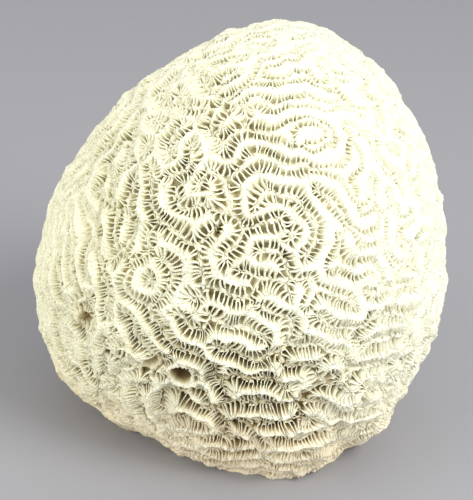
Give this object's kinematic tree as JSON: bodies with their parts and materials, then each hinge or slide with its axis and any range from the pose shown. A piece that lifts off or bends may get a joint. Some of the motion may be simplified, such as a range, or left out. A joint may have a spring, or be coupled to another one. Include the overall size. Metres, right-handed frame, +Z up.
{
  "type": "brain coral skeleton",
  "caption": "Egg-shaped brain coral skeleton covered in winding ridges and valleys, cut flat underneath to stand as an ornament.",
  "frame": {"origin": "on the flat cut base, under the middle of the head", "axes": "+Z up from the flat base, -Y towards the side the picture shows, +X to that side's right"},
  "size_m": [0.1033, 0.0987, 0.1051],
  "materials": {
    "coral": "matt, chalky, finely porous"
  },
  "bodies": {
    "root": {"coral_skeleton": "coral"}
  },
  "joints": []
}
